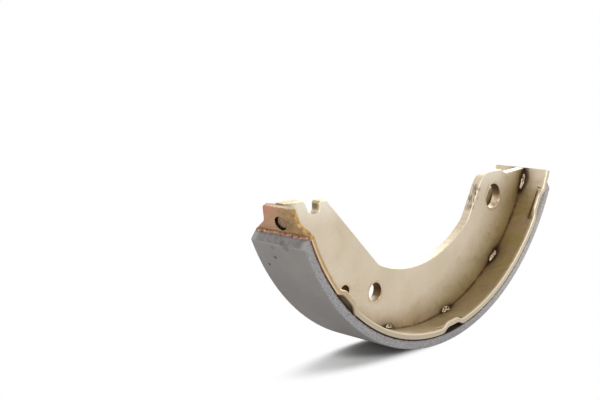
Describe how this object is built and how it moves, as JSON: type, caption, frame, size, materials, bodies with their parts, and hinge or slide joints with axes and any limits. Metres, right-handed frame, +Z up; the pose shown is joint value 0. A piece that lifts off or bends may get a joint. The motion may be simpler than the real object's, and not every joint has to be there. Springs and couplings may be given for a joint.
{
  "type": "brake shoe",
  "caption": "Drum brake shoe: flat crescent web with a pivot hole and an adjuster notch, welded into a bent rim table that carries a bonded friction lining.",
  "frame": {"origin": "the lowest line of the friction face, straight below the drum axis, at mid-width", "axes": "+Z up from the friction face to the drum axis, +X towards the pivot-hole end, +Y along the drum axis"},
  "size_m": [0.183, 0.0306, 0.0744],
  "materials": {
    "passivated_steel": "satin straw-coloured passivate over zinc, with scorched brown halos beside the welds",
    "friction_material": "matt grey moulded friction compound with fine fibres and speckles",
    "adhesive": "matt reddish-brown cured adhesive",
    "weld_metal": "rough expelled weld metal under the same passivate"
  },
  "bodies": {
    "root": {"web": "passivated_steel", "table": "passivated_steel", "lining": "friction_material", "bond_film": "adhesive", "weld_nuggets": "weld_metal"}
  },
  "joints": []
}
